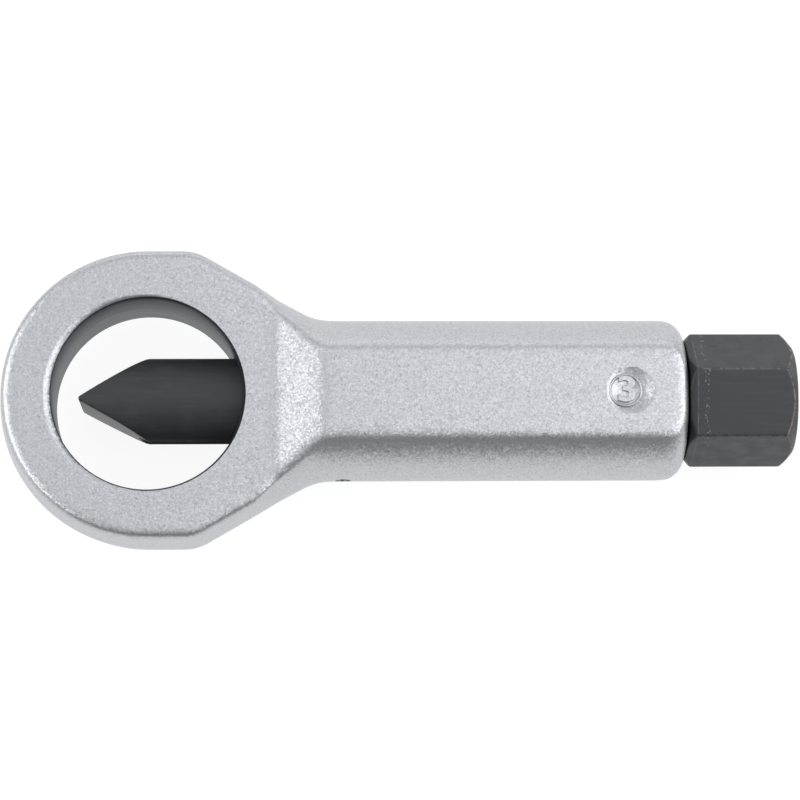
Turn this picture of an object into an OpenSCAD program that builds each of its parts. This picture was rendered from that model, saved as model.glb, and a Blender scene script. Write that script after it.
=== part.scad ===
// Nut splitter: forged ring-head body, keyed wedge chisel and hexagon pressure screw.
// Millimetres. The origin is the centre of the nut opening on the screw's axis.
// +X runs from the opening to the hexagon head, +Z is square to the flat faces.
// The pieces stand as in use at the end of the stroke, with the chisel run right out.

/* [Head] */
// Diameter of the nut opening
opening_d = 31; // [28:0.1:34]
// Outer diameter of the ring at the parting line
head_d = 48.3; // [46:0.1:54]
// Thickness of the head across its flat faces
head_t = 18; // [16:0.5:20]
// Draft of the forged side walls, in degrees
draft_angle = 5; // [4:0.5:9]
// Rounding of the forged edges
edge_r = 1.3; // [0.8:0.1:2.2]
// Chamfer of the opening's rims
opening_chamfer = 0.5; // [0.3:0.1:1.2]
// Where the lines of shoulder and slope would meet, from the opening's centre
shoulder_x = 7.9; // [5:0.1:11]
// Rounding of the shoulder in plan
shoulder_r = 8.5; // [5:0.1:11]
// Angle of the sloping flanks to the axis
flank_angle = 30; // [27:0.5:34]

/* [Barrel] */
// Diameter of the barrel
barrel_d = 26.3; // [24.5:0.1:29]
// Width across the two flats of the barrel
barrel_flats = 22; // [20.5:0.1:24]
// End of the barrel, from the opening's centre
barrel_end_x = 87.2; // [80:0.1:100]
// Rounding of the barrel's end, as turned
barrel_end_r = 3.5; // [1:0.1:4]
// Rounding of the flats at the barrel's end
flat_end_r = 1.2; // [0.5:0.1:2]
// Countersink at the mouth of the thread
mouth_chamfer = 0.8; // [0.3:0.1:1.2]
// Angle of the round neck to the axis
neck_angle = 28; // [25:0.5:30]
// Where the lines of neck and barrel would meet, from the opening's centre
neck_x = 27.35; // [26:0.05:29]
// Fillet between neck and barrel
neck_fillet_r = 9; // [5:0.5:14]
// Start of the ramp from the head's face up to the barrel's flat
ramp_start_x = 20.6; // [19:0.1:22]
// End of that ramp
ramp_end_x = 28.4; // [26:0.1:32]

/* [Chisel] */
// Diameter of the chisel
chisel_d = 14; // [12:0.1:15]
// Distance of the cutting edge past the opening's centre
edge_reach = 11.1; // [6:0.1:14]
// Included angle of the wedge, in degrees
wedge_angle = 62; // [50:1:75]
// Blunt land left on the cutting edge
edge_land = 0.5; // [0.2:0.1:1]
// Width of the keyway
keyway_w = 2.8; // [2.7:0.1:3.4]
// Depth of the keyway below the round
keyway_depth = 1; // [0.8:0.1:1.4]
// End of the chisel at the screw, from the opening's centre
chisel_end_x = 48; // [46:0.1:52]
// Chamfer of the chisel's end
chisel_chamfer = 0.8; // [0.3:0.1:1.2]

/* [Guide pin] */
// Diameter of the spring pin
pin_d = 2.5; // [2:0.1:2.6]
// Wall of the spring pin
pin_wall = 0.5; // [0.3:0.05:0.7]
// Width of the slit along the spring pin
pin_slit = 0.5; // [0.3:0.1:0.8]
// Place of the pin along the barrel, from the opening's centre
pin_x = 31.6; // [29:0.1:34]
// Depth of the pin's outer end below the barrel's side
pin_sink = 0.3; // [0.1:0.1:0.8]
// Gap between the pin's inner end and the keyway's floor
pin_floor_gap = 0.3; // [0.2:0.05:0.5]
// Gap between the pin and the keyway's closed end at full reach
pin_stop_gap = 0.3; // [0.2:0.05:0.6]

/* [Pressure screw] */
// Width across the flats of the hexagon
hex_af = 19; // [17:0.5:21]
// Length of the hexagon head
hex_len = 17.7; // [14:0.1:22]
// Turn of the hexagon at rest, in degrees from a face being level
hex_turn = 10.6; // [-30:0.1:30]
// Angle of the head's chamfers to its end faces
hex_chamfer_angle = 40; // [25:1:45]
// Diameter of the driving end face inside its chamfer
hex_end_d = 17.6; // [15:0.1:18.5]
// Diameter of the seat face inside its chamfer
hex_seat_d = 19.2; // [18:0.1:20]
// Gap between head and barrel at full reach
seat_gap = 0.3; // [0.2:0.05:1]
// Major diameter of the thread
thread_d = 16; // [15.5:0.1:17]
// Pitch of the thread
thread_pitch = 1.5; // [1:0.25:2]
// Start of the thread in the body, from the opening's centre
tapped_x = 40; // [38:0.5:44]
// Width of the runout groove under the head
runout_w = 2.5; // [1:0.1:4]
// Gap between the screw's shoulder and the chisel's end
shoulder_gap = 0.5; // [0.3:0.1:1]
// Diameter of the nose in the chisel's socket
nose_d = 8.4; // [7.6:0.1:9]
// Length of the nose
nose_len = 6.5; // [5.5:0.1:8]
// Chamfer of the nose's end
nose_chamfer = 0.6; // [0.2:0.1:1]

/* [Thrust ball and retaining ring] */
// Diameter of the ball
ball_d = 8; // [6.5:0.1:8.4]
// Angle of the conical ball seat, in degrees
seat_angle = 120; // [90:1:130]
// Gap between ball and nose
ball_gap = 0.05; // [0.03:0.01:0.2]
// Wire of the retaining ring
ring_wire = 1.2; // [1:0.1:1.4]
// Distance of the ring from the chisel's end
ring_inset = 2.6; // [2.2:0.1:3]
// Opening between the ring's ends, in degrees
ring_opening = 40; // [20:5:90]
// Sideways room of the ring in its groove in the nose
ring_play = 0.2; // [0.1:0.05:0.3]

/* [Fits] */
// Running clearance on radius of chisel and nose
slide_clear = 0.06; // [0.03:0.01:0.1]
// Running clearance on radius of the thread
thread_clear = 0.06; // [0.03:0.01:0.1]
// Clearance on radius of the pin in its hole
pin_clear = 0.02; // [0.01:0.01:0.05]
// Clearance of the ball on its seat and of the ring in its groove in the chisel
nest_clear = 0.03; // [0.02:0.01:0.06]

/* [Hidden] */
$fn = 96;
hex_sides = 6;
over = 1;
opening_r = opening_d / 2;
head_r = head_d / 2;
half_t = head_t / 2;
barrel_r = barrel_d / 2;
half_flats = barrel_flats / 2;
chisel_r = chisel_d / 2;
thread_r = thread_d / 2;
pin_r = pin_d / 2;
nose_r = nose_d / 2;
ball_r = ball_d / 2;
wire_r = ring_wire / 2;

// Drafted wall with its rounded edge: d is measured inwards from the parting line
wall_inset = half_t * tan(draft_angle);
edge_tangent = edge_r * tan((90 - draft_angle) / 2);
face_start = wall_inset + edge_tangent;

// Steps in which the forging's edges and shoulders turn
edge_steps = 4;
shoulder_steps = 4;

// Shoulder and flank in plan
shoulder_c = [shoulder_x - shoulder_r * tan(flank_angle / 2), head_r - shoulder_r];

// Round neck and barrel: the fillet's arc meets neck and barrel at a slight angle
fillet_ease = 0.93;
fillet_tangent = fillet_ease * neck_fillet_r * tan(neck_angle / 2);
fillet_end_x = neck_x + fillet_tangent;
fillet_a = [
    barrel_r + fillet_tangent * sin(neck_angle), neck_x - fillet_tangent * cos(neck_angle)
];
fillet_b = [barrel_r, fillet_end_x];
fillet_half = norm(fillet_b - fillet_a) / 2;
fillet_c = (fillet_a + fillet_b) / 2
    + sqrt(pow(neck_fillet_r, 2) - pow(fillet_half, 2))
        * [cos(neck_angle / 2), sin(neck_angle / 2)];

// The flat head ends inside the neck, where a steeper cone fades out its flanks
fade_angle = flank_angle + 10;
fade_ahead = 5.4;
fade_sink = 0.3;
head_end_x = neck_x - fade_ahead;
head_end_r = barrel_r + fade_ahead * tan(neck_angle) - fade_sink;

// The neck starts and its faces lie inside the head
neck_start_x = shoulder_x + shoulder_r / 2;
neck_start_r = barrel_r + (neck_x - neck_start_x) * tan(neck_angle);
neck_sink = 0.4;
ramp_slope = (half_flats - half_t) / (ramp_end_x - ramp_start_x);
ramp_foot_x = ramp_start_x - neck_sink / ramp_slope;

// Roundings overrun the faces that they join by this much, to meet them at a slight angle
crown = 0.02;

// Lengthwise places of the screw and its fits
head_start_x = barrel_end_x + seat_gap;
hex_corner_r = hex_af / 2 / cos(180 / hex_sides);
screw_shoulder_x = chisel_end_x + shoulder_gap;
nose_end_x = screw_shoulder_x - nose_len;
ball_x = nose_end_x - ball_gap - ball_r;
seat_apex_x = ball_x - (ball_r + nest_clear) / sin(seat_angle / 2);
socket_r = nose_r + slide_clear;
seat_depth = socket_r / tan(seat_angle / 2);
ring_x = chisel_end_x - ring_inset;
ring_r = socket_r;
ring_groove_r = ring_r + wire_r + nest_clear;
nose_groove_r = ring_r - wire_r - ring_play;
thread_root_r = thread_r - 0.65 * thread_pitch;
tapped_r = thread_r + thread_clear;

// Guide pin and keyway
keyway_floor = chisel_r - keyway_depth;
keyway_end_x = pin_x + pin_stop_gap + (keyway_w - pin_d) / 2;
pin_in = keyway_floor + pin_floor_gap;
pin_out = barrel_r - pin_sink;

// Turns a shape drawn along +Z to lie along +X
module along_x(x = 0) {
    translate([x, 0, 0]) rotate([0, 90, 0]) children();
}

// Round bar along X from one place to another
module bar_x(r, x0, x1) {
    along_x(x0) cylinder(r = r, h = x1 - x0);
}

// Section of the forged head, with its drafted side wall at a place and a depth inwards
module wall_section(outer, depth) {
    edge = [
        for (i = [0:edge_steps])
            let (turn = draft_angle + i * (90 - draft_angle) / edge_steps)
                [face_start - edge_r * cos(turn), half_t - edge_r + edge_r * sin(turn)]
    ];
    translate([outer, 0]) mirror([1, 0]) polygon(concat(
        [[0, 0]], edge, [[depth, half_t], [depth, -half_t]],
        [for (i = [edge_steps:-1:0]) [edge[i][0], -edge[i][1]]]
    ));
}

// Half ring of the head, to the left of the opening's centre
module head_ring() {
    rotate([0, 0, 90]) rotate_extrude(angle = 180)
        wall_section(head_r, head_r - opening_r + over);
}

// Straight run of wall on the +Y side, at an angle round the shoulder's centre
module wall_run(angle) {
    reach = 2 * head_d;
    translate([shoulder_c[0], shoulder_c[1], 0]) rotate([0, 0, -angle])
        translate([-reach, 0, 0]) rotate([90, 0, 90])
            linear_extrude(2 * reach) wall_section(shoulder_r, reach);
}

// Flat of the head from the opening's centre to the neck: the walls turn round the
// shoulders in steps, and a cone fades out the flanks
module head_flat() {
    intersection() {
        along_x() rotate_extrude() polygon([
            [0, 0], [head_end_r + head_end_x * tan(fade_angle), 0],
            [head_end_r, head_end_x], [0, head_end_x]
        ]);
        intersection_for (i = [0:shoulder_steps])
            wall_run(i * flank_angle / shoulder_steps);
        mirror([0, 1, 0]) intersection_for (i = [0:shoulder_steps])
            wall_run(i * flank_angle / shoulder_steps);
    }
}

// Turned outline of neck and barrel, radius across and X upwards
module barrel_outline() {
    round_x = barrel_end_x - barrel_end_r;
    round_r = barrel_r - barrel_end_r + crown;
    difference() {
        union() {
            polygon([
                [0, neck_start_x], [neck_start_r, neck_start_x], fillet_a, fillet_b,
                [barrel_r, round_x + crown], [0, round_x + crown]
            ]);
            translate([0, neck_start_x]) square([round_r, barrel_end_x - neck_start_x]);
            intersection() {
                translate([round_r, round_x]) circle(r = barrel_end_r);
                square([barrel_r, barrel_end_x]);
            }
        }
        translate(fillet_c) circle(r = neck_fillet_r);
    }
}

// Side view of neck and barrel: ramps up to the flats, rounded at the end
module barrel_side() {
    round_x = barrel_end_x - flat_end_r;
    round_z = half_flats - flat_end_r + crown;
    low_z = half_t - neck_sink;
    polygon([
        [neck_start_x - over, -low_z], [ramp_foot_x, -low_z], [ramp_end_x, -half_flats],
        [round_x + crown, -half_flats], [round_x + crown, half_flats],
        [ramp_end_x, half_flats], [ramp_foot_x, low_z], [neck_start_x - over, low_z]
    ]);
    translate([ramp_end_x, -round_z]) square([barrel_end_x - ramp_end_x, 2 * round_z]);
    for (side = [-1, 1]) intersection() {
        translate([round_x, side * round_z]) circle(r = flat_end_r);
        translate([0, -half_flats]) square([barrel_end_x, barrel_flats]);
    }
}

module neck_and_barrel() {
    intersection() {
        along_x() rotate_extrude() barrel_outline();
        rotate([90, 0, 0]) linear_extrude(2 * head_d, center = true) barrel_side();
    }
}

// Holes that are machined into the forging
module machined_holes() {
    translate([0, 0, -half_t - over]) cylinder(r = opening_r, h = head_t + 2 * over);
    for (side = [0, 1]) mirror([0, 0, side])
        translate([0, 0, half_t - opening_chamfer])
            cylinder(r1 = opening_r, r2 = opening_r + opening_chamfer + over,
                     h = opening_chamfer + over);
    bar_x(chisel_r + slide_clear, 0, tapped_x + over);
    bar_x(tapped_r, tapped_x, barrel_end_x + over);
    along_x(barrel_end_x - mouth_chamfer)
        cylinder(r1 = tapped_r, r2 = tapped_r + mouth_chamfer + over, h = mouth_chamfer + over);
    translate([pin_x, 0, 0]) rotate([90, 0, 0])
        cylinder(r = pin_r + pin_clear, h = barrel_r + over);
}

module body() {
    color("lightgray") difference() {
        union() {
            head_ring();
            head_flat();
            neck_and_barrel();
        }
        machined_holes();
    }
}

// Plan of the chisel: wedge with a blunt land, then the shank
module chisel_plan() {
    wedge_len = (chisel_r - edge_land / 2) / tan(wedge_angle / 2);
    polygon([
        [-edge_reach, -edge_land / 2], [wedge_len - edge_reach, -chisel_r],
        [chisel_end_x, -chisel_r], [chisel_end_x, chisel_r],
        [wedge_len - edge_reach, chisel_r], [-edge_reach, edge_land / 2]
    ]);
}

module chisel() {
    color("dimgray") difference() {
        intersection() {
            union() {
                bar_x(chisel_r, -edge_reach - over, chisel_end_x - chisel_chamfer);
                along_x(chisel_end_x - chisel_chamfer)
                    cylinder(r1 = chisel_r, r2 = chisel_r - chisel_chamfer,
                             h = chisel_chamfer);
            }
            linear_extrude(2 * chisel_d, center = true) chisel_plan();
        }
        // Keyway with a round closed end, open at the wedge
        rotate([90, 0, 0]) translate([0, 0, keyway_floor]) linear_extrude(chisel_d) {
            translate([-edge_reach - over, -keyway_w / 2])
                square([keyway_end_x + edge_reach + over, keyway_w]);
            translate([keyway_end_x, 0]) circle(d = keyway_w);
        }
        // Socket for the screw's nose, conical ball seat and groove for the ring
        along_x() rotate_extrude() polygon([
            [0, seat_apex_x], [socket_r, seat_apex_x + seat_depth],
            [socket_r, ring_x - wire_r - nest_clear],
            [ring_groove_r, ring_x - wire_r - nest_clear],
            [ring_groove_r, ring_x + wire_r + nest_clear],
            [socket_r, ring_x + wire_r + nest_clear],
            [socket_r, chisel_end_x + over], [0, chisel_end_x + over]
        ]);
    }
}

module guide_pin() {
    color("darkgray") translate([pin_x, 0, 0]) rotate([90, 0, 0])
        translate([0, 0, pin_in]) difference() {
            cylinder(r = pin_r, h = pin_out - pin_in);
            translate([0, 0, -over])
                cylinder(r = pin_r - pin_wall, h = pin_out - pin_in + 2 * over);
            translate([0, -pin_slit / 2, -over])
                cube([pin_d, pin_slit, pin_out - pin_in + 2 * over]);
        }
}

// Hexagon head, chamfered at its seat and at its driving end
module hex_head() {
    slope = tan(hex_chamfer_angle);
    seat_r = hex_seat_d / 2;
    end_r = hex_end_d / 2;
    wide_r = hex_corner_r + over;
    along_x(head_start_x) intersection() {
        rotate([0, 0, hex_turn + 180 / hex_sides])
            cylinder(r = hex_corner_r, h = hex_len, $fn = hex_sides);
        rotate_extrude() polygon([
            [0, 0], [seat_r, 0], [wide_r, (wide_r - seat_r) * slope],
            [wide_r, hex_len - (wide_r - end_r) * slope], [end_r, hex_len], [0, hex_len]
        ]);
    }
}

// Threaded shank with its nose, drawn at the thread's major diameter
module screw_shank() {
    thread_depth = thread_r - thread_root_r;
    groove_half = wire_r + ring_play;
    along_x() rotate_extrude() polygon([
        [0, nose_end_x], [nose_r - nose_chamfer, nose_end_x],
        [nose_r, nose_end_x + nose_chamfer],
        [nose_r, ring_x - groove_half], [nose_groove_r, ring_x - groove_half],
        [nose_groove_r, ring_x + groove_half], [nose_r, ring_x + groove_half],
        [nose_r, screw_shoulder_x],
        [thread_root_r, screw_shoulder_x], [thread_r, screw_shoulder_x + thread_depth],
        [thread_r, head_start_x - runout_w - thread_depth],
        [thread_root_r, head_start_x - runout_w],
        [thread_root_r, head_start_x + over], [0, head_start_x + over]
    ]);
}

module pressure_screw() {
    color("dimgray") {
        hex_head();
        screw_shank();
    }
}

module thrust_ball() {
    color("silver") translate([ball_x, 0, 0]) sphere(r = ball_r);
}

module retaining_ring() {
    color("gray") along_x(ring_x) rotate([0, 0, ring_opening / 2])
        rotate_extrude(angle = 360 - ring_opening)
            translate([ring_r, 0]) circle(r = wire_r);
}

body();
chisel();
guide_pin();
pressure_screw();
thrust_ball();
retaining_ring();
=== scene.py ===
"""Dresses the nut splitter for a studio picture.

The solids of the frame give every size and place. This file makes the forged body with its
soft blends, the size mark on the barrel, the ground chisel, the threaded pressure screw,
their finishes, and the studio.
"""

import math

import bpy
from mathutils import Matrix, Vector


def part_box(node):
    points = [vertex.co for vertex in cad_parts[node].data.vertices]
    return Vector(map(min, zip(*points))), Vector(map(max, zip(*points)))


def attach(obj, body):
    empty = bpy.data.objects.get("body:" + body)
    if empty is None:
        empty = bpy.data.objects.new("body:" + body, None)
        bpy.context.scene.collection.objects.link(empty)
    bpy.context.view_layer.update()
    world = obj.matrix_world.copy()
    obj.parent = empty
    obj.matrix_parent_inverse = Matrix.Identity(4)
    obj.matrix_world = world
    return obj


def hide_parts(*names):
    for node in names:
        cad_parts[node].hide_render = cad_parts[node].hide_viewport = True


bl_info = {
    "name": "Nut Splitter",
    "version": (1, 0, 0),
    "blender": (4, 5, 0),
    "location": "View3D > Sidebar > Nut Splitter",
    "description": "Forged nut splitter with a keyed chisel and a hexagon pressure screw",
    "category": "Object",
}

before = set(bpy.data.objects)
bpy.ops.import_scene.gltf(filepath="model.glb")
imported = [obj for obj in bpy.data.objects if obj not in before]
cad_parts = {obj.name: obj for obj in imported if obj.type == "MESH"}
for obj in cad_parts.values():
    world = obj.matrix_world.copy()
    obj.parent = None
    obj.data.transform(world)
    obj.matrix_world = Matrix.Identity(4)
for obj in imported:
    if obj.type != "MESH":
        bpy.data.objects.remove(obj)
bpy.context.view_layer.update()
MM = 0.001

# Places that the solids give
BODY_LOW, BODY_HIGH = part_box("body")
CHISEL_LOW, CHISEL_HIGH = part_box("chisel")
SCREW_LOW, SCREW_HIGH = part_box("pressure_screw")
PIN_LOW, PIN_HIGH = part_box("guide_pin")
PIN_X = (PIN_LOW.x + PIN_HIGH.x) / 2


def length(name, text, millimetres):
    """A length that a user may change, with its default in millimetres."""
    return bpy.props.FloatProperty(
        name=name, description=text, default=millimetres * MM, unit="LENGTH", precision=5
    )


def colour(name, text, red, green, blue):
    """A finish colour that a user may change."""
    return bpy.props.FloatVectorProperty(
        name=name, description=text, default=(red, green, blue),
        subtype="COLOR", size=3, min=0.0, max=1.0,
    )


class ForgingSettings(bpy.types.PropertyGroup):
    """Sizes of the forged body's skin."""

    voxel: length("Skin grid", "Grid on which the forged skin is laid", 0.4)
    soften: bpy.props.IntProperty(
        name="Soften", description="Smoothing passes over the forged skin", default=6, min=0
    )
    barrel_soften: bpy.props.IntProperty(
        name="Soften barrel", description="Further passes over the barrel", default=30, min=0
    )
    barrel_start: length("Barrel start", "Where the softer edges start", 17.5)
    opening: length("Opening", "Radius of the nut opening", 15.5)
    face: length("Head face", "Height of the head's flat faces over the middle", 9.0)
    rim: length("Rim", "Width of the steep break where the opening's wall starts", 0.2)
    deburr: length("Deburr", "Width of the hand-deburred bevel on the front rim", 0.6)
    deburr_shift: length("Deburr shift", "How far that bevel runs to the head's end", 0.5)
    deburr_angle: bpy.props.FloatProperty(
        name="Deburr angle", description="Slope of that bevel to the face",
        default=math.radians(28), subtype="ANGLE",
    )
    barrel: length("Barrel", "Radius of the barrel's sides", 13.15)
    chisel_bore: length("Chisel bore", "Radius of the chisel's bore", 7.06)
    tapped_bore: length("Tapped bore", "Radius of the screw's bore", 8.06)
    tapped_start: length("Tapped start", "Where the screw's bore starts", 40.0)
    mouth: length("Mouth", "Countersink at the mouth of the tapped bore", 0.8)
    pin_bore: length("Pin bore", "Radius of the guide pin's hole", 1.27)


class MarkSettings(bpy.types.PropertyGroup):
    """The stamped size mark on the barrel's flat."""

    place: length("Place", "Distance of the mark from the opening's centre", 77.7)
    radius: length("Radius", "Radius of the sunk dish", 3.8)
    depth: length("Depth", "Depth of the dish", 0.4)
    ring_shift: length("Ring shift", "How far the ring sits off the dish's centre", 0.8)
    ring_radius: length("Ring radius", "Outer radius of the raised ring", 2.8)
    ring_width: length("Ring width", "Width of the raised ring", 0.55)
    numeral_size: length("Numeral size", "Size of the numeral's type", 5.7)
    numeral_shift: length("Numeral shift", "How far the numeral sits off the ring's centre", 0.2)
    numeral_bold: length("Numeral bold", "How far the numeral's strokes are widened", 0.06)
    numeral_wide: bpy.props.FloatProperty(
        name="Numeral width", description="Width of the numeral over its type's", default=1.15
    )
    numeral: bpy.props.StringProperty(
        name="Numeral", description="Plain size number inside the ring", default="3"
    )


class ChiselSettings(bpy.types.PropertyGroup):
    """The chisel's ground wedge and worn edges."""

    off_middle: length("Off middle", "How far the edge is ground off the middle", 0.45)
    shoulder: length("Shoulder", "Where the wedge ends at the shank", 0.1)
    voxel: length("Grid", "Grid on which the chisel's worn edges are laid", 0.22)
    soften: bpy.props.IntProperty(
        name="Soften", description="Smoothing passes over the chisel", default=4, min=0
    )


class ScrewSettings(bpy.types.PropertyGroup):
    """The pressure screw's head and thread."""

    pitch: length("Pitch", "Pitch of the thread", 1.5)
    major: length("Major radius", "Outer radius of the thread", 8.0)
    root: length("Root radius", "Inner radius of the thread", 7.08)
    head: length("Head start", "Where the hexagon head starts", 87.5)
    shoulder: length("Shoulder", "Where the threaded shank starts", 48.5)
    runout: length("Runout", "Width of the groove under the head", 2.5)
    nose: length("Nose radius", "Radius of the nose that bears on the ball", 4.2)
    nose_chamfer: length("Nose chamfer", "Chamfer at the nose's end", 0.6)
    groove: length("Groove", "Place of the snap ring's groove", 45.4)
    groove_radius: length("Groove radius", "Radius at the groove's floor", 3.46)
    groove_width: length("Groove width", "Width of the groove", 1.6)
    corner: length("Corner", "Radius of the hexagon's corners", 10.97)
    end_radius: length("End radius", "Radius of the driving end inside its chamfer", 8.8)
    chamfer: bpy.props.FloatProperty(
        name="Chamfer", description="Angle of the chamfer to the end face",
        default=math.radians(40), subtype="ANGLE",
    )
    # Painted shade: how far the head is darkened from its start, next to the barrel's end
    painted_shade_reach: length("Darkened seat", "How far oil darkens the head from its start", 1.15)
    faces: length("Faces", "How far from the head's start its flat faces begin", 1.3)
    mark: length("Marks", "Where sockets have left their marks", 90.2)
    head_voxel: length("Head grid", "Grid on which the head's worn edges are laid", 0.2)
    head_soften: bpy.props.IntProperty(
        name="Head soften", description="Smoothing passes over the head", default=3, min=0
    )


class FinishSettings(bpy.types.PropertyGroup):
    """Colours of the finishes."""

    zinc: colour("Zinc", "Blasted and zinc plated forging", 0.53, 0.54, 0.565)
    zinc_dark: colour("Zinc pits", "Pits of the blasted zinc", 0.24, 0.25, 0.27)
    # Bored colour: partly the machined wall's own tone, partly painted shade for the walls
    # inside the opening and the bores
    bored_and_shaded: colour("Bored zinc", "Machined and plated walls", 0.065, 0.075, 0.09)
    chisel: colour("Chisel", "Blackened chisel steel", 0.025, 0.027, 0.028)
    ground: colour("Ground flats", "Ground wedge faces", 0.085, 0.085, 0.085)
    screw: colour("Screw", "Phosphated screw steel", 0.016, 0.018, 0.022)
    worn: colour("Worn edges", "Steel that shows through at worn edges", 0.24, 0.22, 0.20)
    rust: colour("Rubbed rim", "Warm tint of the rubbed rim", 0.27, 0.175, 0.11)
    # Painted shade: near-black colour for the head's start, in the gap next to the barrel's end
    painted_shade: colour("Seat_shade", "Darkened seat behind the head", 0.006, 0.006, 0.008)
    spring: colour("Spring steel", "Pin and ring", 0.16, 0.15, 0.14)
    ball: colour("Bearing steel", "Polished thrust ball", 0.62, 0.62, 0.63)


class StudioSettings(bpy.types.PropertyGroup):
    """Camera, floor and light."""

    elevation: bpy.props.FloatProperty(
        name="Elevation", description="Camera's height over the horizon",
        default=math.radians(81.0), subtype="ANGLE",
    )
    lean: bpy.props.FloatProperty(
        name="Lean", description="How far the camera stands over the head's side",
        default=math.radians(2.4), subtype="ANGLE",
    )
    roll: bpy.props.FloatProperty(
        name="Roll", description="Camera's roll", default=-0.002, subtype="ANGLE"
    )
    distance: length("Distance", "Camera's distance from the tool", 500.0)
    lens: bpy.props.FloatProperty(
        name="Lens", description="Focal length in millimetres", default=137.4
    )
    aim_x: length("Aim along", "Place along the tool in the picture's centre", 41.0)
    aim_y: length("Aim across", "Place across the tool in the picture's centre", 0.2)


def settings(group):
    """The user's values of one group."""
    return getattr(bpy.context.scene, "nut_splitter_" + group)


# Modelling helpers


def deselect():
    """Leaves edit mode and deselects everything."""
    if bpy.context.mode != "OBJECT":
        bpy.ops.object.mode_set(mode="OBJECT")
    bpy.ops.object.select_all(action="DESELECT")


def pick(obj):
    """Makes one object the only selected and active one."""
    deselect()
    obj.select_set(True)
    bpy.context.view_layer.objects.active = obj


def edit(obj):
    """Opens one object in edit mode with everything selected."""
    pick(obj)
    bpy.ops.object.mode_set(mode="EDIT")
    bpy.ops.mesh.select_all(action="SELECT")


def placed(name, data):
    """A new object in the scene, at the origin."""
    obj = bpy.data.objects.new(name, data)
    bpy.context.scene.collection.objects.link(obj)
    return obj


def added(name):
    """Names the primitive that was just added and applies its place."""
    obj = bpy.context.view_layer.objects.active
    obj.name = name
    obj.data.name = name
    bpy.ops.object.transform_apply(location=True, rotation=True, scale=True)
    return obj


def rod(name, radius, start, end, vertices=128):
    """A closed round rod between two points."""
    deselect()
    start, end = Vector(start), Vector(end)
    along = end - start
    bpy.ops.mesh.primitive_cylinder_add(
        vertices=vertices, radius=radius, depth=along.length,
        location=(start + end) / 2, rotation=along.to_track_quat("Z", "Y").to_euler(),
    )
    return added(name)


def copy_of_node(node, name):
    """A new object with a merged copy of a solid's mesh."""
    obj = placed(name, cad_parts[node].data.copy())
    obj.data.materials.clear()
    edit(obj)
    bpy.ops.mesh.remove_doubles(threshold=0.001 * MM)
    bpy.ops.object.mode_set(mode="OBJECT")
    return obj


def turned(name, outline, axis, steps=128):
    """A closed turned shape: outline holds (radius, along) points from axis to axis."""
    side = {"X": Vector((0, 0, 1)), "Z": Vector((1, 0, 0))}[axis]
    along = {"X": Vector((1, 0, 0)), "Z": Vector((0, 0, 1))}[axis]
    mesh = bpy.data.meshes.new(name)
    points = [side * radius + along * place for radius, place in outline]
    mesh.from_pydata(points, [(i, i + 1) for i in range(len(points) - 1)], [])
    obj = placed(name, mesh)
    edit(obj)
    bpy.ops.mesh.spin(steps=steps, angle=2 * math.pi, center=(0, 0, 0), axis=along)
    bpy.ops.mesh.select_all(action="SELECT")
    bpy.ops.mesh.remove_doubles(threshold=0.002 * MM)
    bpy.ops.mesh.normals_make_consistent(inside=False)
    bpy.ops.object.mode_set(mode="OBJECT")
    return obj


def modify(obj, kind, **values):
    """Adds one modifier and applies it."""
    pick(obj)
    bpy.ops.object.modifier_add(type=kind)
    modifier = obj.modifiers[-1]
    for key, value in values.items():
        setattr(modifier, key, value)
    bpy.ops.object.modifier_apply(modifier=modifier.name)


def soften(obj, grid, passes):
    """Lays a shape on a grid and smooths its edges."""
    modify(obj, "REMESH", mode="VOXEL", voxel_size=grid)
    modify(obj, "SMOOTH", factor=0.5, iterations=passes)


def combine(obj, tool, operation):
    """Cuts another shape away or joins it on, after which that shape is gone."""
    modify(obj, "BOOLEAN", object=tool, operation=operation, solver="EXACT")
    bpy.data.objects.remove(tool, do_unlink=True)


def join(obj, *others):
    """Joins shells into one object."""
    pick(obj)
    for other in others:
        other.select_set(True)
    bpy.ops.object.join()
    return obj


def smooth(obj, degrees):
    """Smooth shading with creases over an angle."""
    pick(obj)
    bpy.ops.object.shade_smooth_by_angle(angle=math.radians(degrees))


def dress(obj, *materials):
    """Gives an object its materials, in order."""
    obj.data.materials.clear()
    for material in materials:
        obj.data.materials.append(material)


def paint(obj, index, wanted):
    """Gives a material index to the faces for which wanted(centre, normal) holds."""
    for face in obj.data.polygons:
        if wanted(face.center, face.normal):
            face.material_index = index


# Finishes


# Places of the colour sockets on a Mix node
MIX_FIRST, MIX_SECOND, MIX_RESULT = 6, 7, 2


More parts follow.
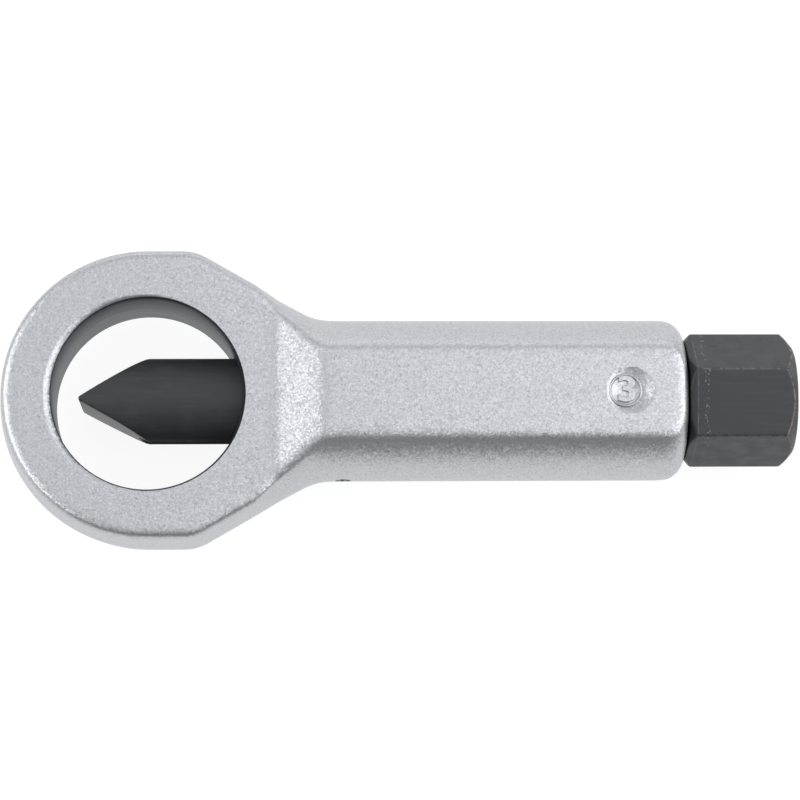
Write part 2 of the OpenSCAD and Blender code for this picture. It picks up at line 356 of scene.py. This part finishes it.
class Finish:
    """A material under construction, with short ways to add nodes."""

    def __init__(self, name, metallic, roughness):
        self.material = bpy.data.materials.new(name)
        self.material.use_nodes = True
        self.nodes = self.material.node_tree.nodes
        self.links = self.material.node_tree.links
        self.shader = self.nodes["Principled BSDF"]
        self.shader.inputs["Metallic"].default_value = metallic
        self.shader.inputs["Roughness"].default_value = roughness
        self.place = self.nodes.new("ShaderNodeTexCoord").outputs["Object"]

    def stretched(self, x, y, z):
        """Object coordinates scaled along the axes, for drawn or brushed grain."""
        node = self.nodes.new("ShaderNodeMapping")
        node.inputs["Scale"].default_value = (x, y, z)
        self.links.new(self.place, node.inputs["Vector"])
        return node.outputs["Vector"]

    def noise(self, grain_mm, detail=2.0, rough=0.5, place=None):
        """Noise whose grain has about that size in millimetres."""
        node = self.nodes.new("ShaderNodeTexNoise")
        node.inputs["Scale"].default_value = 1.0 / (grain_mm * MM)
        node.inputs["Detail"].default_value = detail
        node.inputs["Roughness"].default_value = rough
        self.links.new(place or self.place, node.inputs["Vector"])
        return node.outputs["Fac"]

    def ramp(self, value, low, high, start=0.0, end=1.0):
        """Maps a value from low..high to start..end, smoothly clamped."""
        node = self.nodes.new("ShaderNodeMapRange")
        node.interpolation_type = "SMOOTHSTEP"
        for name, number in zip(
            ("From Min", "From Max", "To Min", "To Max"), (low, high, start, end)
        ):
            node.inputs[name].default_value = number
        self.links.new(value, node.inputs["Value"])
        return node.outputs["Result"]

    def calc(self, first, second, operation="MULTIPLY"):
        """Two values multiplied, or combined by another operation."""
        node = self.nodes.new("ShaderNodeMath")
        node.operation = operation
        for socket, value in zip(node.inputs, (first, second)):
            if isinstance(value, (int, float)):
                socket.default_value = value
            else:
                self.links.new(value, socket)
        return node.outputs["Value"]

    def mix(self, share, first, second):
        """Two colours mixed by a share from 0 to 1."""
        node = self.nodes.new("ShaderNodeMix")
        node.data_type = "RGBA"
        self.links.new(share, node.inputs["Factor"])
        for place, value in ((MIX_FIRST, first), (MIX_SECOND, second)):
            socket = node.inputs[place]
            if isinstance(value, bpy.types.NodeSocket):
                self.links.new(value, socket)
            else:
                socket.default_value = (*value, 1.0)
        return node.outputs[MIX_RESULT]

    def axis(self, name):
        """One of the object's coordinates."""
        node = self.nodes.new("ShaderNodeSeparateXYZ")
        self.links.new(self.place, node.inputs["Vector"])
        return node.outputs[name]

    def length_of(self, first, second):
        """Distance from the axis that two of the object's coordinates are square to."""
        squares = [self.calc(self.axis(name), 2.0, "POWER") for name in (first, second)]
        return self.calc(self.calc(*squares, "ADD"), 0.5, "POWER")

    def band(self, value, place, width):
        """1 at a place, fading to 0 over a width to both sides."""
        off = self.calc(self.calc(value, place, "SUBTRACT"), 0.0, "ABSOLUTE")
        return self.ramp(off, 0.4 * width, width, 1.0, 0.0)

    def bump(self, value, depth_mm, strength):
        """Relief of a depth in millimetres."""
        node = self.nodes.new("ShaderNodeBump")
        node.inputs["Distance"].default_value = depth_mm * MM
        node.inputs["Strength"].default_value = strength
        self.links.new(value, node.inputs["Height"])
        self.links.new(node.outputs["Normal"], self.shader.inputs["Normal"])

    def facets(self, size_mm, tilt):
        """Tiny facets with a random tilt, as shot leaves them."""
        cells = self.nodes.new("ShaderNodeTexVoronoi")
        cells.inputs["Scale"].default_value = 1.0 / (size_mm * MM)
        self.links.new(self.place, cells.inputs["Vector"])
        centred = self.nodes.new("ShaderNodeVectorMath")
        centred.operation = "SUBTRACT"
        centred.inputs[1].default_value = (0.5, 0.5, 0.5)
        self.links.new(cells.outputs["Color"], centred.inputs[0])
        leaned = self.nodes.new("ShaderNodeVectorMath")
        leaned.operation = "MULTIPLY_ADD"
        leaned.inputs[1].default_value = (tilt, tilt, tilt)
        surface = self.nodes.new("ShaderNodeNewGeometry")
        self.links.new(centred.outputs["Vector"], leaned.inputs[0])
        self.links.new(surface.outputs["Normal"], leaned.inputs[2])
        unit = self.nodes.new("ShaderNodeVectorMath")
        unit.operation = "NORMALIZE"
        self.links.new(leaned.outputs["Vector"], unit.inputs[0])
        self.feed("Normal", unit.outputs["Vector"])

    def feed(self, socket, value):
        """Links a value to one of the shader's inputs."""
        self.links.new(value, self.shader.inputs[socket])


def blasted_zinc():
    """Shot-blasted forging with bright zinc on it: fine grain, pits, slight clouding."""
    tones = settings("finish")
    finish = Finish("blasted_zinc", 1.0, 0.42)
    grain = finish.noise(0.27, 2.0, 0.6)
    pits = finish.ramp(finish.noise(0.4, 1.0, 0.5), 0.38, 0.26, 0.0, 0.45)
    clouds = finish.noise(9.0, 3.0, 0.55)
    light = tuple(min(1.0, 1.10 * tone) for tone in tones.zinc)
    dim = tuple(0.90 * tone for tone in tones.zinc)
    speckled = finish.mix(finish.ramp(grain, 0.36, 0.64), dim, light)
    clouded = finish.mix(finish.ramp(clouds, 0.35, 0.70, 0.0, 0.3), speckled, tones.zinc)
    finish.feed("Base Color", finish.mix(pits, clouded, tones.zinc_dark))
    finish.feed("Roughness", finish.ramp(grain, 0.3, 0.7, 0.47, 0.38))
    finish.facets(0.25, 0.18)
    return finish.material


def bored_zinc_and_shade():
    """Machined wall with tool rings under thin zinc, its colour darkened as painted shade in the
    bore.
    """
    tones = settings("finish")
    finish = Finish("bored_zinc_and_shade", 0.7, 0.45)
    rings = finish.noise(2.0, 3.0, 0.6, finish.stretched(0.2, 0.2, 9.0))
    clouds = finish.noise(4.0, 2.0, 0.5)
    dark = tuple(0.72 * tone for tone in tones.bored_and_shaded)
    shade = finish.calc(rings, clouds, "ADD")
    finish.feed("Base Color", finish.mix(finish.ramp(shade, 0.7, 1.3), dark, tones.bored_and_shaded))
    finish.feed("Roughness", finish.ramp(rings, 0.3, 0.7, 0.40, 0.52))
    finish.bump(rings, 0.02, 0.25)
    return finish.material


def black_chisel():
    """Blackened and oiled chisel steel with faint turning marks."""
    tones = settings("finish")
    finish = Finish("black_chisel", 0.1, 0.6)
    marks = finish.noise(1.2, 3.0, 0.6, finish.stretched(0.15, 1.6, 1.6))
    clouds = finish.noise(3.5, 3.0, 0.6)
    pale = tuple(1.35 * tone for tone in tones.chisel)
    shade = finish.ramp(finish.calc(marks, clouds), 0.16, 0.42)
    finish.feed("Base Color", finish.mix(shade, tones.chisel, pale))
    finish.feed("Roughness", finish.ramp(clouds, 0.3, 0.7, 0.56, 0.68))
    finish.bump(marks, 0.01, 0.15)
    return finish.material


def ground_chisel():
    """Ground wedge faces with grinding lines square to the edge."""
    tones = settings("finish")
    finish = Finish("ground_chisel", 0.6, 0.4)
    lines = finish.noise(0.9, 3.0, 0.65, finish.stretched(0.15, 0.15, 3.0))
    dark = tuple(0.55 * tone for tone in tones.ground)
    finish.feed("Base Color", finish.mix(finish.ramp(lines, 0.3, 0.7), dark, tones.ground))
    finish.feed("Roughness", finish.ramp(lines, 0.3, 0.7, 0.32, 0.5))
    finish.bump(lines, 0.012, 0.35)
    return finish.material


def phosphated_screw():
    """Phosphated hexagon steel: drawn grain, worn edges, marks of sockets, and painted shade on
    the head's start next to the barrel.
    """
    tones = settings("finish")
    sizes = settings("screw")
    finish = Finish("phosphated_screw", 0.2, 0.5)
    finish.shader.inputs["Specular IOR Level"].default_value = 0.85
    drawn = finish.noise(0.7, 3.0, 0.6, finish.stretched(0.12, 1.0, 1.0))
    clouds = finish.noise(2.6, 3.0, 0.6)
    pale = tuple(1.5 * tone for tone in tones.screw)
    shade = finish.ramp(finish.calc(drawn, clouds), 0.14, 0.44)
    base = finish.mix(shade, tones.screw, pale)
    worn, rubbed, unshaded = screw_wear(finish, sizes, clouds)
    scuffed = finish.mix(worn, base, tones.worn)
    warmed = finish.mix(rubbed, scuffed, tones.rust)
    # The head's start takes the painted shade colour, next to the barrel's end
    finish.feed("Base Color", finish.mix(unshaded, tones.painted_shade, warmed))
    finish.feed("Roughness", finish.ramp(clouds, 0.3, 0.7, 0.40, 0.54))
    finish.bump(drawn, 0.02, 0.3)
    return finish.material


def screw_wear(finish, sizes, clouds):
    """Shares of worn steel and of the rubbed rim, and where no painted shade darkens the head's
    start.
    """
    along = finish.axis("X")
    radius = finish.length_of("Y", "Z")
    patchy = finish.ramp(finish.noise(0.9, 2.0, 0.6), 0.32, 0.68)

    # Corners, and the line where the faces start
    corner_out, corner_in = sizes.corner - 0.05 * MM, sizes.corner - 0.14 * MM
    corners = finish.ramp(radius, corner_in, corner_out, 0.0, 0.6)
    start = finish.band(along, sizes.head + sizes.faces, 0.12 * MM)
    edges = finish.calc(corners, finish.calc(start, 0.45), "MAXIMUM")

    # Marks of sockets, in a line that sways with the clouds
    sway = 2.0 * MM
    swaying = finish.calc(along, finish.calc(clouds, sway), "SUBTRACT")
    marks = finish.band(swaying, sizes.mark - 0.45 * sway, 0.45 * MM)
    spots = finish.ramp(finish.noise(0.36, 2.0, 0.6), 0.58, 0.66)
    rubs = finish.calc(finish.calc(marks, spots), finish.calc(edges, patchy), "MAXIMUM")

    # Rim of the driving end, along the chamfer's cone
    slope = math.tan(sizes.chamfer)
    cone = finish.calc(along, finish.calc(radius, slope), "ADD")
    rim = SCREW_HIGH.x + sizes.end_radius * slope
    rim_width = 0.14 * MM
    crown = finish.calc(finish.band(cone, rim - rim_width, rim_width), patchy)

    # Painted shade on the head's first stretch, in the gap next to the barrel's end, and none on
    # the thread
    shade_end, thread_end = sizes.head + sizes.painted_shade_reach, sizes.head - 0.1 * MM
    past_shade = finish.ramp(along, shade_end - 0.2 * MM, shade_end)
    before_shade = finish.ramp(along, thread_end - 0.1 * MM, thread_end, 1.0, 0.0)
    unshaded = finish.calc(past_shade, before_shade, "MAXIMUM")
    return finish.calc(rubs, 0.8), finish.calc(crown, 0.7), unshaded


def bright_steel(name, tone, roughness, grain_mm):
    """Plain bright steel with a fine grain."""
    finish = Finish(name, 1.0, roughness)
    grain = finish.noise(grain_mm, 2.0, 0.5)
    dim = tuple(0.8 * part for part in tone)
    finish.feed("Base Color", finish.mix(finish.ramp(grain, 0.35, 0.65), dim, tone))
    finish.bump(grain, 0.01, 0.2)
    return finish.material


# Pieces


class NUTSPLITTER_OT_forged_body(bpy.types.Operator):
    """Forged body: soft forged skin with crisp machined holes"""

    bl_idname = "nut_splitter.forged_body"
    bl_label = "Forged Body"

    def execute(self, context):
        sizes = settings("forging")
        body = copy_of_node("body", "forged_body")
        self.plug(body, sizes)
        soften(body, sizes.voxel, sizes.soften)
        self.soften_barrel(body, sizes)
        self.bore(body, sizes)
        self.sink_mark(body, settings("mark"))
        smooth(body, degrees=40)
        dress(body, blasted_zinc(), bored_zinc_and_shade())
        self.mark_shaded_bored_walls(body, sizes)
        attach(body, "body")
        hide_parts("body")
        return {"FINISHED"}

    def plug(self, body, sizes):
        """Fills the holes, so that the skin grows over a whole forging.

        The plugs lap over their holes' walls and stay a little shy of the surface.
        """
        opening_lap = 1.2 * MM
        bore_lap = 1.0 * MM
        pin_lap = 0.2 * MM
        shy = 0.02 * MM
        face = sizes.face - shy
        end = BODY_HIGH.x - shy
        side = shy - sizes.barrel
        bore_start = 10 * MM
        join(
            body,
            rod("opening_plug", sizes.opening + opening_lap, (0, 0, -face), (0, 0, face)),
            rod("bore_plug", sizes.tapped_bore + bore_lap, (bore_start, 0, 0), (end, 0, 0)),
            rod("pin_plug", sizes.pin_bore + pin_lap, (PIN_X, 0, 0), (PIN_X, side, 0)),
        )

    def soften_barrel(self, body, sizes):
        """Rounds the ramps and the barrel's flats into the sides, from a smooth start."""
        group = body.vertex_groups.new(name="barrel")
        fade = 8 * MM
        for vertex in body.data.vertices:
            weight = min(1.0, (vertex.co.x - sizes.barrel_start) / fade)
            if weight > 0:
                group.add([vertex.index], weight, "REPLACE")
        modify(body, "SMOOTH", factor=0.5, iterations=sizes.barrel_soften,
               vertex_group=group.name)

    def bore(self, body, sizes):
        """Machines the opening, the stepped bore and the pin's hole."""
        past = 3 * MM
        steep = math.tan(math.radians(65))  # Of the rim's break, over the face
        wide = sizes.opening + sizes.rim
        start = sizes.face - sizes.deburr * math.tan(sizes.deburr_angle)
        top = sizes.face + past
        upper = [
            (sizes.opening, start - sizes.rim * steep), (wide + (top - start) / steep, top),
            (0, top),
        ]
        lower = [(radius, -along) for radius, along in reversed(upper)]
        combine(body, turned("opening", lower + upper, "Z", 192), "DIFFERENCE")
        combine(body, self.deburring(sizes), "DIFFERENCE")
        end = BODY_HIGH.x
        step = turned("stepped_bore", [
            (0, 0), (sizes.chisel_bore, 0), (sizes.chisel_bore, sizes.tapped_start),
            (sizes.tapped_bore, sizes.tapped_start), (sizes.tapped_bore, end - sizes.mouth),
            (sizes.tapped_bore + sizes.mouth + past, end + past), (0, end + past),
        ], "X", 128)
        combine(body, step, "DIFFERENCE")
        outside = -20 * MM
        hole = rod("pin_hole", sizes.pin_bore, (PIN_X, 0, 0), (PIN_X, outside, 0), 48)
        combine(body, hole, "DIFFERENCE")

    def deburring(self, sizes):
        """A flat cone, a little off the opening's middle, that bevels the front rim."""
        wide = sizes.opening + sizes.deburr
        over = 0.5 * MM
        slope = math.tan(sizes.deburr_angle)
        cone = turned("deburring", [
            (0, sizes.face - wide * slope), (wide + over, sizes.face + over * slope),
            (0, sizes.face + over * slope),
        ], "Z", 192)
        cone.data.transform(Matrix.Translation((-sizes.deburr_shift, 0, 0)))
        return cone

    def sink_mark(self, body, sizes):
        """Sinks the round dish of the size mark into the front flat."""
        top = BODY_HIGH.z
        floor = top - sizes.depth
        past = 0.5 * MM
        run = 1.4  # Of the dish's wall for each unit of its depth
        dish = turned("dish", [
            (0, floor), (sizes.radius - run * sizes.depth, floor),
            (sizes.radius + run * past, top + past), (0, top + past),
        ], "Z", 64)
        dish.data.transform(Matrix.Translation((sizes.place, 0, 0)))
        combine(body, dish, "DIFFERENCE")

    def mark_shaded_bored_walls(self, body, sizes):
        """Gives the machined walls their own finish, whose dark colour is partly painted shade.
        """
        upright = 0.8  # A wall's normal has less than this along Z

        def bored_and_shaded(centre, normal):
            across = math.hypot(centre.x, centre.y)
            around = math.hypot(centre.y, centre.z)
            # The steep break at the rim's inner edge takes that dark colour too, a painted dark
            # line round the rim
            wall = across < sizes.opening + 2 * sizes.rim and abs(normal.z) < upright
            bore = around < sizes.tapped_bore + sizes.mouth and centre.x > 0
            return wall or bore

        paint(body, index=1, wanted=bored_and_shaded)


class NUTSPLITTER_OT_size_mark(bpy.types.Operator):
    """Stamped size mark: raised ring and plain numeral in a shallow dish"""

    bl_idname = "nut_splitter.size_mark"
    bl_label = "Size Mark"

    def execute(self, context):
        sizes = settings("mark")
        below, height = 1.5 * sizes.depth, 1.4 * sizes.depth
        base = BODY_HIGH.z - below
        half = sizes.ring_width / 2
        middle = sizes.ring_radius - half
        steps = 10
        crown = [
            (middle + half * math.cos(turn), base + height * math.sin(turn))
            for turn in (math.pi * step / steps for step in range(steps + 1))
        ]
        ring = turned("size_mark", [*crown, crown[0]], "Z", 96)
        join(ring, self.numeral(sizes, base, height))
        ring.data.transform(Matrix.Translation((sizes.place - sizes.ring_shift, 0, 0)))
        smooth(ring, degrees=40)
        dress(ring, bpy.data.materials["blasted_zinc"])
        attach(ring, "body")
        return {"FINISHED"}

    def numeral(self, sizes, base, height):
        """The number as a raised mesh with rounded edges."""
        deselect()
        bpy.ops.object.text_add(location=(0, 0, 0))
        text = bpy.context.view_layer.objects.active.data
        text.body = sizes.numeral
        text.size = sizes.numeral_size
        text.align_x = "CENTER"
        text.align_y = "CENTER"
        text.offset = sizes.numeral_bold
        text.bevel_depth = 0.12 * MM
        text.bevel_resolution = 2
        text.extrude = height / 2 - text.bevel_depth
        bpy.ops.object.convert(target="MESH")
        number = bpy.context.view_layer.objects.active
        number.data.transform(Matrix.Diagonal((sizes.numeral_wide, 1, 1, 1)))
        number.data.transform(
            Matrix.Translation((sizes.numeral_shift, 0, base + height / 2))
        )
        return number


class NUTSPLITTER_OT_chisel(bpy.types.Operator):
    """Blackened chisel with ground wedge faces and broken edges"""

    bl_idname = "nut_splitter.chisel"
    bl_label = "Chisel"

    def execute(self, context):
        sizes = settings("chisel")
        chisel = copy_of_node("chisel", "wedge_chisel")
        self.grind_off_middle(chisel, sizes)
        soften(chisel, sizes.voxel, sizes.soften)
        smooth(chisel, degrees=40)
        dress(chisel, black_chisel(), ground_chisel())
        self.mark_ground_faces(chisel, sizes)
        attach(chisel, "chisel")
        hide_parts("chisel")
        return {"FINISHED"}

    def grind_off_middle(self, chisel, sizes):
        """Leans the wedge to one side, without leaving the shank's round."""
        reach = sizes.shoulder - CHISEL_LOW.x
        round_radius = CHISEL_HIGH.z
        for vertex in chisel.data.vertices:
            share = (sizes.shoulder - vertex.co.x) / reach
            if share <= 0:
                continue
            vertex.co.y -= share * sizes.off_middle
            out = math.hypot(vertex.co.y, vertex.co.z) / round_radius
            if out > 1:
                vertex.co.y /= out
                vertex.co.z /= out

    def mark_ground_faces(self, chisel, sizes):
        """Gives the wedge's faces their own finish."""
        forward = -0.3  # Their normals have less than this along X

        def ground(centre, normal):
            return centre.x < sizes.shoulder and normal.x < forward

        paint(chisel, index=1, wanted=ground)


class NUTSPLITTER_OT_pressure_screw(bpy.types.Operator):
    """Pressure screw: hexagon head with worn edges on a threaded shank"""

    bl_idname = "nut_splitter.pressure_screw"
    bl_label = "Pressure Screw"

    def execute(self, context):
        sizes = settings("screw")
        head = self.head(sizes)
        shank = self.shank(sizes)
        combine(shank, self.thread(sizes), "UNION")
        screw = join(head, shank)
        smooth(screw, degrees=32)
        dress(screw, phosphated_screw())
        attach(screw, "screw")
        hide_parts("pressure_screw")
        return {"FINISHED"}

    def head(self, sizes):
        """The hexagon, cut from the solid, with its edges worn soft."""
        head = copy_of_node("pressure_screw", "pressure_screw_worn")
        cut = sizes.head + 0.01 * MM
        edit(head)
        bpy.ops.mesh.bisect(
            plane_co=(cut, 0, 0), plane_no=(1, 0, 0), use_fill=True, clear_inner=True
        )
        bpy.ops.object.mode_set(mode="OBJECT")
        soften(head, sizes.head_voxel, sizes.head_soften)
        return head

    def shank(self, sizes):
        """Core of the shank with its nose, snap ring groove and runout."""
        start = SCREW_LOW.x
        lap = 1 * MM
        end = sizes.head + lap
        nose, chamfer = sizes.nose, sizes.nose_chamfer
        before = sizes.groove - sizes.groove_width / 2
        after = sizes.groove + sizes.groove_width / 2
        return turned("shank", [
            (0, start), (nose - chamfer, start), (nose, start + chamfer),
            (nose, before), (sizes.groove_radius, before),
            (sizes.groove_radius, after), (nose, after),
            (nose, sizes.shoulder), (sizes.root, sizes.shoulder),
            (sizes.root, end), (0, end),
        ], "X", 96)

    def thread(self, sizes):
        """The thread's ridge, wound along the shank."""
        steps = 64
        sunk, gap = 0.12 * MM, 0.1 * MM
        half_root = 0.48 * sizes.pitch
        half_crest = 0.08 * sizes.pitch
        first = sizes.shoulder + half_root + gap
        last = sizes.head - sizes.runout
        turns = int((last - first) / sizes.pitch)
        low, high = sizes.root - sunk, sizes.major
        corners = [
            (first - half_root, low), (first - half_crest, high),
            (first + half_crest, high), (first + half_root, low),
        ]
        mesh = bpy.data.meshes.new("thread")
        mesh.from_pydata(
            [(along, 0, radius) for along, radius in corners],
            [(i, (i + 1) % 4) for i in range(4)], [],
        )
        ridge = placed("thread", mesh)
        modify(ridge, "SCREW", axis="X", screw_offset=sizes.pitch, iterations=turns,
               steps=steps, render_steps=steps, use_merge_vertices=False)
        edit(ridge)
        bpy.ops.mesh.select_all(action="DESELECT")
        bpy.ops.mesh.select_non_manifold()
        bpy.ops.mesh.edge_face_add()
        bpy.ops.mesh.select_all(action="SELECT")
        bpy.ops.mesh.normals_make_consistent(inside=False)
        bpy.ops.object.mode_set(mode="OBJECT")
        return ridge


class NUTSPLITTER_OT_small_parts(bpy.types.Operator):
    """Finishes of the guide pin, the snap ring and the thrust ball"""

    bl_idname = "nut_splitter.small_parts"
    bl_label = "Small Parts"

    def execute(self, context):
        tones = settings("finish")
        spring = bright_steel("spring_steel", tones.spring, roughness=0.4, grain_mm=0.3)
        ball = bright_steel("bearing_steel", tones.ball, roughness=0.12, grain_mm=0.8)
        for node, material in (
            ("guide_pin", spring), ("retaining_ring", spring), ("thrust_ball", ball)
        ):
            dress(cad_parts[node], material)
        return {"FINISHED"}


# Studio


def seen_directly(nodes, links, share):
    """That share for what camera, metal and glass see, and 0 for the light it gives."""
    path = nodes.new("ShaderNodeLightPath")
    seen = path.outputs["Is Camera Ray"]
    for name in ("Is Glossy Ray", "Is Transmission Ray"):
        either = nodes.new("ShaderNodeMath")
        either.operation = "MAXIMUM"
        links.new(seen, either.inputs[0])
        links.new(path.outputs[name], either.inputs[1])
        seen = either.outputs["Value"]
    part = nodes.new("ShaderNodeMath")
    part.operation = "MULTIPLY"
    part.inputs[1].default_value = share
    links.new(seen, part.inputs[0])
    return part.outputs["Value"]


def lamp(name, place, size, level):
    """A soft box that points at the tool, as bright as a white sheet at level 1."""
    light = bpy.data.lights.new(name, "AREA")
    light.shape = "RECTANGLE"
    light.size, light.size_y = size
    light.energy = 4 * size[0] * size[1] * level
    obj = placed(name, light)
    obj.location = place
    middle = Vector((0.04, 0, 0))
    aim = middle - obj.location
    obj.rotation_euler = aim.to_track_quat("-Z", "Y").to_euler()


class NUTSPLITTER_OT_studio(bpy.types.Operator):
    """White floor, soft light and the camera"""

    bl_idname = "nut_splitter.studio"
    bl_label = "Studio"

    def execute(self, context):
        values = settings("studio")
        context.scene.view_settings.view_transform = "Standard"
        self.floor()
        self.world(context.scene)
        self.lamps()
        self.camera(context.scene, values)
        return {"FINISHED"}

    def floor(self):
        """A pale floor under the tool."""
        deselect()
        width, grey, glow = 4.0, 0.16, 0.91
        bpy.ops.mesh.primitive_plane_add(size=width, location=(0, 0, BODY_LOW.z))
        floor = added("floor")
        material = bpy.data.materials.new("pale_floor")
        material.use_nodes = True
        nodes, links = material.node_tree.nodes, material.node_tree.links
        nodes.clear()
        matt = nodes.new("ShaderNodeBsdfDiffuse")
        matt.inputs["Color"].default_value = (grey, grey, grey, 1.0)
        white = nodes.new("ShaderNodeEmission")
        links.new(seen_directly(nodes, links, glow), white.inputs["Strength"])
        both = nodes.new("ShaderNodeAddShader")
        links.new(matt.outputs["BSDF"], both.inputs[0])
        links.new(white.outputs["Emission"], both.inputs[1])
        output = nodes.new("ShaderNodeOutputMaterial")
        links.new(both.outputs["Shader"], output.inputs["Surface"])
        dress(floor, material)

    def world(self, scene):
        """Even, slightly cool surroundings."""
        world = bpy.data.worlds.new("studio")
        world.use_nodes = True
        scene.world = world
        background = world.node_tree.nodes["Background"]
        background.inputs["Color"].default_value = (0.93, 0.96, 1.0, 1.0)
        background.inputs["Strength"].default_value = 0.22

    def lamps(self):
        """Soft boxes: over the tool, behind it and to both sides, none in front."""
        lamp("overhead", (0.25, 0.11, 0.90), (1.0, 0.54), 1.0)
        lamp("behind", (0.05, 0.96, 0.36), (1.4, 0.66), 0.92)
        lamp("left", (-0.76, 0.03, 0.65), (1.1, 0.9), 2.0)
        lamp("right", (0.82, 0.05, 0.64), (1.1, 0.75), 1.8)

    def camera(self, scene, values):
        """The photograph's camera, high over the tool."""
        camera = placed("camera", bpy.data.cameras.new("camera"))
        camera.data.lens = values.lens
        camera.data.clip_start = 0.01
        aim = Vector((values.aim_x, values.aim_y, 0))
        tip = Matrix.Rotation(math.pi / 2 - values.elevation, 4, "X")
        lean = Matrix.Rotation(-values.lean, 4, "Y")
        roll = Matrix.Rotation(values.roll, 4, "Z")
        away = Matrix.Translation((0, 0, values.distance))
        camera.matrix_world = Matrix.Translation(aim) @ tip @ lean @ roll @ away
        scene.camera = camera


class NUTSPLITTER_PT_sidebar(bpy.types.Panel):
    """Lists the steps in the sidebar"""

    bl_idname = "NUTSPLITTER_PT_sidebar"
    bl_label = "Nut Splitter"
    bl_space_type = "VIEW_3D"
    bl_region_type = "UI"
    bl_category = "Nut Splitter"

    def draw(self, context):
        for step in STEPS:
            self.layout.operator(step.bl_idname)


GROUPS = {
    "forging": ForgingSettings,
    "mark": MarkSettings,
    "chisel": ChiselSettings,
    "screw": ScrewSettings,
    "finish": FinishSettings,
    "studio": StudioSettings,
}
STEPS = (
    NUTSPLITTER_OT_studio,
    NUTSPLITTER_OT_forged_body,
    NUTSPLITTER_OT_size_mark,
    NUTSPLITTER_OT_chisel,
    NUTSPLITTER_OT_pressure_screw,
    NUTSPLITTER_OT_small_parts,
)


def register():
    """Registers the settings, the steps and the sidebar."""
    for group in GROUPS.values():
        bpy.utils.register_class(group)
    for name, group in GROUPS.items():
        setattr(bpy.types.Scene, "nut_splitter_" + name, bpy.props.PointerProperty(type=group))
    for step in STEPS:
        bpy.utils.register_class(step)
    bpy.utils.register_class(NUTSPLITTER_PT_sidebar)


def unregister():
    """Takes them all out again."""
    bpy.utils.unregister_class(NUTSPLITTER_PT_sidebar)
    for step in reversed(STEPS):
        bpy.utils.unregister_class(step)
    for name, group in reversed(GROUPS.items()):
        delattr(bpy.types.Scene, "nut_splitter_" + name)
        bpy.utils.unregister_class(group)


def main():
    """Runs the steps in order."""
    register()
    bpy.ops.nut_splitter.studio()
    bpy.ops.nut_splitter.forged_body()
    bpy.ops.nut_splitter.size_mark()
    bpy.ops.nut_splitter.chisel()
    bpy.ops.nut_splitter.pressure_screw()
    bpy.ops.nut_splitter.small_parts()
    deselect()


if __name__ == "__main__":
    main()
